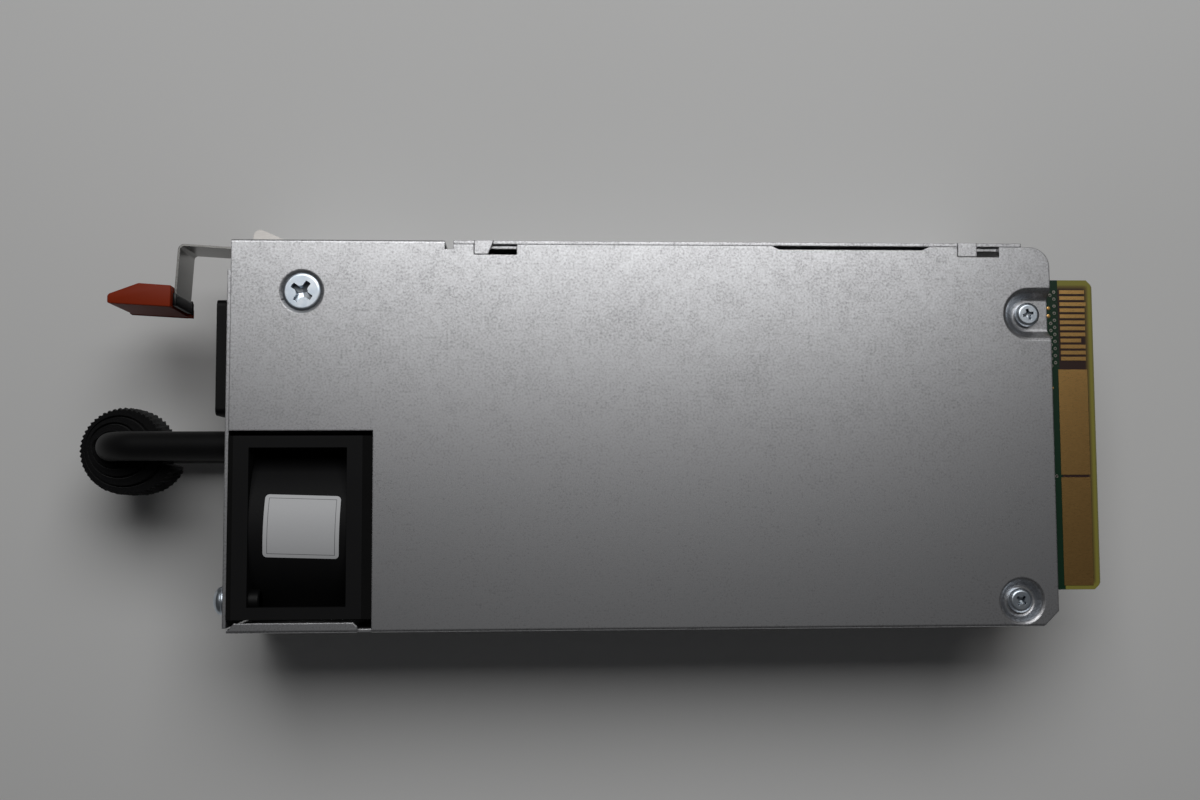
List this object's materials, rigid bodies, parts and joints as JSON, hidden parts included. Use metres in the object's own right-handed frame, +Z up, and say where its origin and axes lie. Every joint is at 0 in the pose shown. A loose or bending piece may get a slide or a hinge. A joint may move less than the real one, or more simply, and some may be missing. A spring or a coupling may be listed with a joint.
{
  "type": "hot swap server power supply",
  "caption": "Slim sheet steel power supply module with a card edge, a mains inlet and fan in front, a bail handle, a strap and a spring latch.",
  "frame": {"origin": "centre of the case's footprint, on the outer face of the cover it lies on", "axes": "+X towards the card edge, +Y towards the latch side, +Z up to the chassis face"},
  "size_m": [0.2304, 0.0895, 0.04],
  "materials": {
    "galvanised_sheet": "galvanised steel sheet, mottled and dull",
    "zinc_steel": "bright zinc plated steel",
    "spring_steel": "rolled spring steel, satin",
    "black_coat": "satin black powder coat on a steel bar",
    "amber_plastic": "moulded touch-point plastic, orange brown",
    "black_plastic": "moulded glass-filled plastic, black",
    "black_foam": "closed-cell foam",
    "clear_plastic": "clear moulded light pipe",
    "strap_cloth": "woven hook-and-loop tape, black",
    "laminate": "glass epoxy laminate with solder mask",
    "gold_plate": "hard gold plating on copper",
    "insulation": "insulating film",
    "tinned_brass": "tin plated brass",
    "wire_sleeve": "extruded wire insulation",
    "ferrite": "sintered ferrite",
    "winding": "enamelled copper wire",
    "can_sleeve": "shrunk sleeve over an aluminium can",
    "aluminium": "extruded and cut aluminium",
    "film_case": "moulded yellow case",
    "moulding_compound": "transfer moulded package"
  },
  "bodies": {
    "case": {"chassis_tray": "galvanised_sheet", "cover_lid": "galvanised_sheet", "front_plate": "galvanised_sheet", "rear_grille": "galvanised_sheet", "earth_screw": "zinc_steel", "board_screws": "zinc_steel", "board_nuts": "zinc_steel", "fan_screws": "zinc_steel", "latch_foot": "spring_steel", "latch_rivets": "zinc_steel", "handle_bail": "black_coat", "cable_strap": "strap_cloth", "inlet_housing": "black_plastic", "inlet_pins": "tinned_brass", "inlet_leads": "wire_sleeve", "inlet_bracket": "galvanised_sheet", "status_lens": "clear_plastic", "fan_frame": "black_plastic", "fan_stator": "winding", "fan_bearings": "zinc_steel", "fan_gaskets": "black_foam", "fan_bulkhead": "galvanised_sheet", "fan_lead": "wire_sleeve", "fan_plug": "black_plastic", "main_board": "laminate", "edge_contacts": "gold_plate", "insulator_sheet": "insulation", "board_spacers": "black_plastic", "common_mode_chokes": "winding", "x_capacitors": "film_case", "mains_relay": "moulding_compound", "input_fuse": "tinned_brass", "bulk_capacitors": "can_sleeve", "boost_choke": "winding", "primary_heatsink": "aluminium", "power_transistors": "moulding_compound", "bridge_rectifier": "moulding_compound", "transformer_core": "ferrite", "transformer_winding": "winding", "standby_transformer": "film_case", "output_choke": "winding", "secondary_heatsink": "aluminium", "output_capacitors": "can_sleeve", "busbars": "winding", "control_board": "laminate"},
    "latch": {"latch_leaf": "spring_steel", "latch_barb": "spring_steel", "latch_tab": "amber_plastic"},
    "rotor": {"fan_rotor": "black_plastic", "fan_shaft": "zinc_steel", "fan_magnet": "ferrite"}
  },
  "joints": [
    {"name": "latch_press", "type": "hinge", "parent": "case", "child": "latch", "pos_m": [-0.053, 0.04185, 0.028], "axis": [0, 0, 1], "range_deg": [0, 6.5], "stiffness_Nm_per_rad": 5, "springref_deg": -1.72},
    {"name": "fan_spin", "type": "hinge", "parent": "case", "child": "rotor", "pos_m": [-0.075, -0.0202, 0.02], "axis": [1, 0, 0], "continuous": true}
  ]
}
